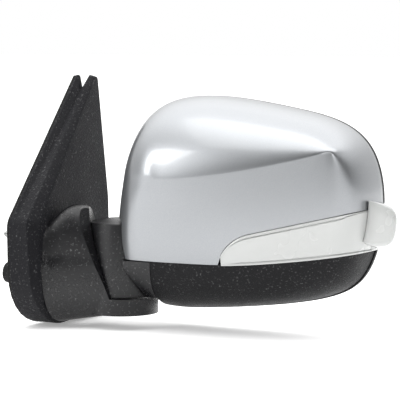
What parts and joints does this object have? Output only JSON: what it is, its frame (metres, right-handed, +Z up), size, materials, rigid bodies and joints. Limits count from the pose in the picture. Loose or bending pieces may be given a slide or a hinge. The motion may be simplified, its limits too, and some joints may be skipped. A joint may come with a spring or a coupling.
{
  "type": "car side mirror",
  "caption": "Folding exterior door mirror for the left side of a car: painted cap over a black housing, side signal lens, triangular door base and powered convex glass.",
  "frame": {"origin": "on the plane where the gasket meets the door, level with the seam under the painted cap", "axes": "+X outboard from the door, -Y to the front of the vehicle, +Z up"},
  "size_m": [0.3857, 0.1458, 0.2401],
  "materials": {
    "silver_paint": "metallic clearcoat",
    "grained_plastic": "fine grain",
    "satin_plastic": "satin",
    "grey_plastic": "matte",
    "white_plastic": "natural acetal",
    "rubber": "matte",
    "cast_alloy": "as cast",
    "zinc_steel": "zinc plated",
    "spring_steel": "oiled",
    "clear_lens": "moulded clear plastic",
    "chrome": "vacuum coated",
    "circuit_board": "solder mask",
    "led": "moulded",
    "heater_film": "film",
    "mirror_glass": "silvered, convex"
  },
  "bodies": {
    "base": {"sail_cover": "grained_plastic", "base_arm": "satin_plastic", "base_bracket": "cast_alloy", "base_gasket": "rubber", "mounting_studs": "zinc_steel", "wire_grommet": "rubber", "pivot_post": "cast_alloy", "spring_clip": "spring_steel", "cover_screws": "zinc_steel"},
    "head": {"shell_cap": "silver_paint", "lower_housing": "grained_plastic", "neck_casting": "satin_plastic", "neck_cap": "satin_plastic", "glass_bezel": "grained_plastic", "head_frame": "grey_plastic", "frame_screws": "zinc_steel", "signal_lens": "clear_lens", "side_lens": "clear_lens", "signal_reflector": "chrome", "signal_board": "circuit_board", "signal_leds": "led", "pivot_spring": "spring_steel", "fold_gear_case": "grey_plastic", "fold_motor": "zinc_steel", "gear_case_screws": "zinc_steel", "adjuster_housing": "grey_plastic", "adjuster_motors": "zinc_steel", "adjuster_screws": "zinc_steel"},
    "tilt_jack": {"tilt_jack": "white_plastic"},
    "pan_jack": {"pan_jack": "white_plastic"},
    "gimbal": {"gimbal_ring": "grey_plastic"},
    "glass": {"glass_carrier": "grained_plastic", "heater_pad": "heater_film", "mirror_glass": "mirror_glass"}
  },
  "joints": [
    {"name": "fold", "type": "hinge", "parent": "base", "child": "head", "pos_m": [0.084, -0.008, 0], "axis": [0, 0, 1], "range_deg": [-30, 55]},
    {"name": "glass_tilt", "type": "hinge", "parent": "head", "child": "gimbal", "pos_m": [0.205, 0.021, 0.062], "axis": [1, 0, 0], "range_deg": [-5, 5]},
    {"name": "glass_pan", "type": "hinge", "parent": "gimbal", "child": "glass", "pos_m": [0.205, 0.021, 0.062], "axis": [0, 0, 1], "range_deg": [-5, 5]},
    {"name": "tilt_jack_slide", "type": "slide", "parent": "head", "child": "tilt_jack", "axis": [0, 1, 0], "range_m": [-0.003, 0.003]},
    {"name": "pan_jack_slide", "type": "slide", "parent": "head", "child": "pan_jack", "axis": [0, 1, 0], "range_m": [-0.003, 0.003]}
  ],
  "couplings": [
    {"joint": "tilt_jack_slide", "follows": "glass_tilt", "m_per_rad": 0.028},
    {"joint": "pan_jack_slide", "follows": "glass_pan", "m_per_rad": 0.028}
  ]
}
